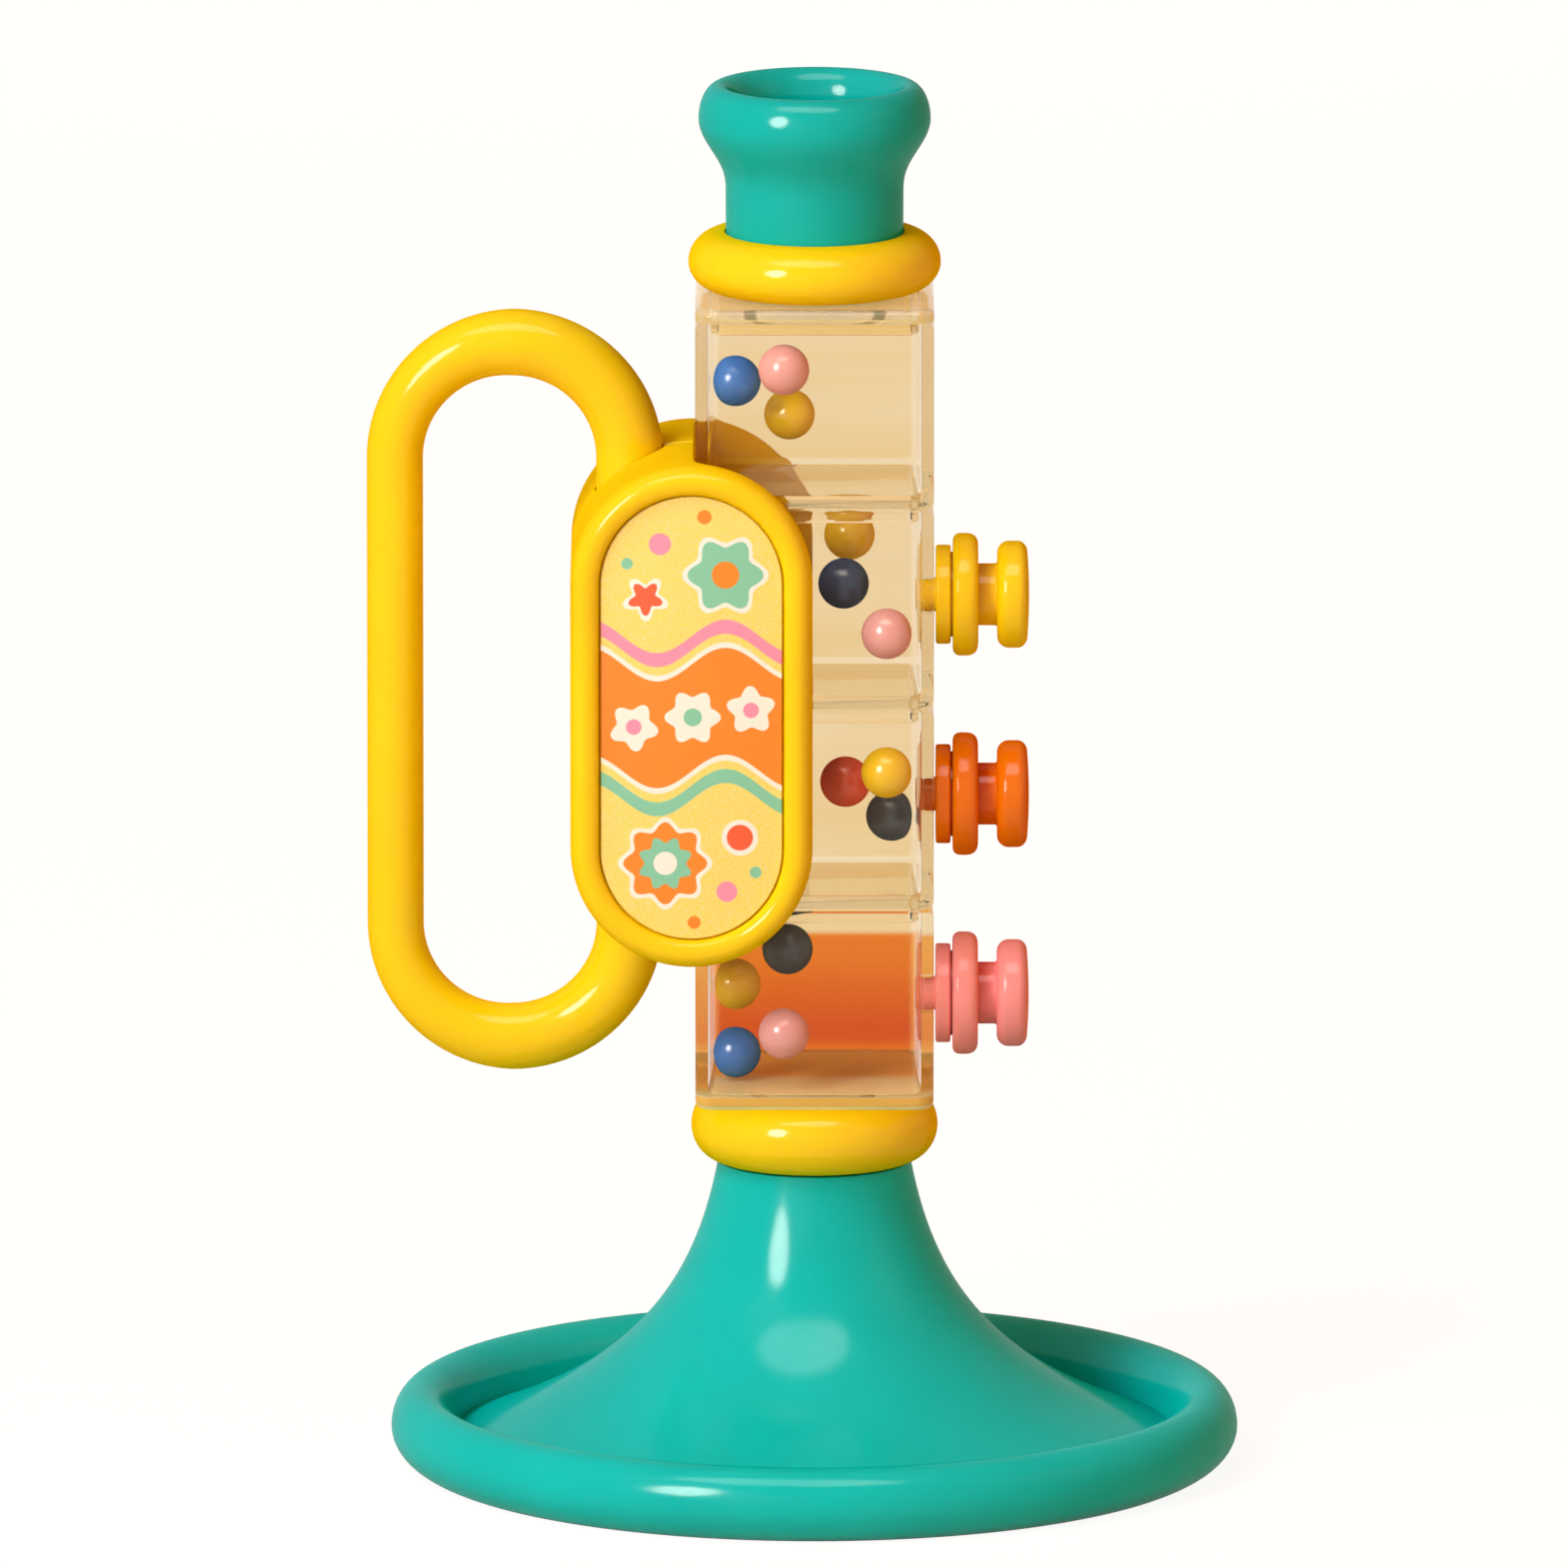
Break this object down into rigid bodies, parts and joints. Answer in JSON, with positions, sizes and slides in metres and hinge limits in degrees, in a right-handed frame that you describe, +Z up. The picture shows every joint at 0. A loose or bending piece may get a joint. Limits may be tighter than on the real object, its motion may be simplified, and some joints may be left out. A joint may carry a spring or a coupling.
{
  "type": "toy trumpet",
  "caption": "Toy trumpet standing on its bell, with a clear square rattle body of stacked chambers, side push keys, a loop handle and a mouthpiece.",
  "frame": {"origin": "on the floor, at the middle of the object's box, 1.75 mm beside the trumpet's own axis", "axes": "+Z up along the trumpet's axis from the bell to the mouthpiece; the keys point to +X, the handle to -X, and the label faces -Y"},
  "size_m": [0.1334, 0.13, 0.2145],
  "materials": {
    "bell_teal": "moulded teal plastic, soft gloss",
    "mouthpiece_teal": "moulded teal plastic, soft gloss",
    "collar_yellow": "moulded yellow plastic, glossy",
    "handle_yellow": "moulded yellow plastic, glossy",
    "case_yellow": "moulded yellow plastic, glossy",
    "label_cream": "printed plastic film, satin",
    "clear_beige": "clear moulded plastic with a light beige tint",
    "clear_orange": "clear moulded plastic with an orange tint",
    "key_yellow": "moulded yellow plastic, glossy",
    "key_orange": "moulded orange plastic, glossy",
    "key_pink": "moulded pink plastic, glossy",
    "spring_steel": "bare spring wire",
    "screw_steel": "plated steel",
    "reed_steel": "thin rolled steel",
    "whistle_white": "moulded off-white plastic",
    "bead_pink": "glossy plastic",
    "bead_blue": "glossy plastic",
    "bead_gold": "glossy plastic",
    "bead_navy": "glossy plastic",
    "bead_red": "glossy plastic",
    "bead_grey": "glossy plastic"
  },
  "bodies": {
    "trumpet": {"mouthpiece": "mouthpiece_teal", "whistle_body": "whistle_white", "whistle_reed": "reed_steel", "upper_collar": "collar_yellow", "top_lid": "clear_beige", "chamber_1": "clear_beige", "chamber_2": "clear_beige", "chamber_3": "clear_beige", "chamber_4": "clear_orange", "lower_collar": "collar_yellow", "bell": "bell_teal", "handle": "handle_yellow", "case_front": "case_yellow", "case_rear": "case_yellow", "case_screw_1": "screw_steel", "case_screw_2": "screw_steel", "case_screw_3": "screw_steel", "case_screw_4": "screw_steel", "label": "label_cream", "key_1_stub": "key_yellow", "key_1_flange": "key_yellow", "key_1_spring": "spring_steel", "key_2_stub": "key_orange", "key_2_flange": "key_orange", "key_2_spring": "spring_steel", "key_3_stub": "key_pink", "key_3_flange": "key_pink", "key_3_spring": "spring_steel"},
    "key_1": {"key_1_plunger": "key_yellow"},
    "key_2": {"key_2_plunger": "key_orange"},
    "key_3": {"key_3_plunger": "key_pink"},
    "bead_1_pink": {"bead_1_pink": "bead_pink"},
    "bead_1_blue": {"bead_1_blue": "bead_blue"},
    "bead_1_gold": {"bead_1_gold": "bead_gold"},
    "bead_2_gold": {"bead_2_gold": "bead_gold"},
    "bead_2_navy": {"bead_2_navy": "bead_navy"},
    "bead_2_pink": {"bead_2_pink": "bead_pink"},
    "bead_3_gold": {"bead_3_gold": "bead_gold"},
    "bead_3_red": {"bead_3_red": "bead_red"},
    "bead_3_grey": {"bead_3_grey": "bead_grey"},
    "bead_4_grey": {"bead_4_grey": "bead_grey"},
    "bead_4_gold": {"bead_4_gold": "bead_gold"},
    "bead_4_pink": {"bead_4_pink": "bead_pink"},
    "bead_4_blue": {"bead_4_blue": "bead_blue"}
  },
  "joints": [
    {"name": "key_1_press", "type": "slide", "parent": "trumpet", "child": "key_1", "axis": [-1, 0, 0], "range_m": [0, 0.0024], "stiffness_N_per_m": 250, "springref_m": -0.002, "deforming": ["key_1_spring"]},
    {"name": "key_2_press", "type": "slide", "parent": "trumpet", "child": "key_2", "axis": [-1, 0, 0], "range_m": [0, 0.0024], "stiffness_N_per_m": 250, "springref_m": -0.002, "deforming": ["key_2_spring"]},
    {"name": "key_3_press", "type": "slide", "parent": "trumpet", "child": "key_3", "axis": [-1, 0, 0], "range_m": [0, 0.0024], "stiffness_N_per_m": 250, "springref_m": -0.002, "deforming": ["key_3_spring"]},
    {"name": "bead_1_pink_rattle", "type": "slide", "parent": "trumpet", "child": "bead_1_pink", "axis": [0, 0, 1], "range_m": [-0.0147, 0.0018]},
    {"name": "bead_1_blue_rattle", "type": "slide", "parent": "trumpet", "child": "bead_1_blue", "axis": [0, 0, 1], "range_m": [-0.0115, 0.005]},
    {"name": "bead_1_gold_rattle", "type": "slide", "parent": "trumpet", "child": "bead_1_gold", "axis": [0, 0, 1], "range_m": [-0.0048, 0.0117]},
    {"name": "bead_2_gold_rattle", "type": "slide", "parent": "trumpet", "child": "bead_2_gold", "axis": [0, 0, 1], "range_m": [-0.0156, 0.0029]},
    {"name": "bead_2_navy_rattle", "type": "slide", "parent": "trumpet", "child": "bead_2_navy", "axis": [0, 0, 1], "range_m": [-0.0111, 0.0074]},
    {"name": "bead_2_pink_rattle", "type": "slide", "parent": "trumpet", "child": "bead_2_pink", "axis": [0, 0, 1], "range_m": [-0.0048, 0.0137]},
    {"name": "bead_3_gold_rattle", "type": "slide", "parent": "trumpet", "child": "bead_3_gold", "axis": [0, 0, 1], "range_m": [-0.0143, 0.0042]},
    {"name": "bead_3_red_rattle", "type": "slide", "parent": "trumpet", "child": "bead_3_red", "axis": [0, 0, 1], "range_m": [-0.0097, 0.0088]},
    {"name": "bead_3_grey_rattle", "type": "slide", "parent": "trumpet", "child": "bead_3_grey", "axis": [0, 0, 1], "range_m": [-0.0028, 0.0157]},
    {"name": "bead_4_grey_rattle", "type": "slide", "parent": "trumpet", "child": "bead_4_grey", "axis": [0, 0, 1], "range_m": [-0.013, 0.0055]},
    {"name": "bead_4_gold_rattle", "type": "slide", "parent": "trumpet", "child": "bead_4_gold", "axis": [0, 0, 1], "range_m": [-0.0092, 0.0093]},
    {"name": "bead_4_pink_rattle", "type": "slide", "parent": "trumpet", "child": "bead_4_pink", "axis": [0, 0, 1], "range_m": [-0.0047, 0.0138]},
    {"name": "bead_4_blue_rattle", "type": "slide", "parent": "trumpet", "child": "bead_4_blue", "axis": [0, 0, 1], "range_m": [-0.0002, 0.0183]}
  ]
}
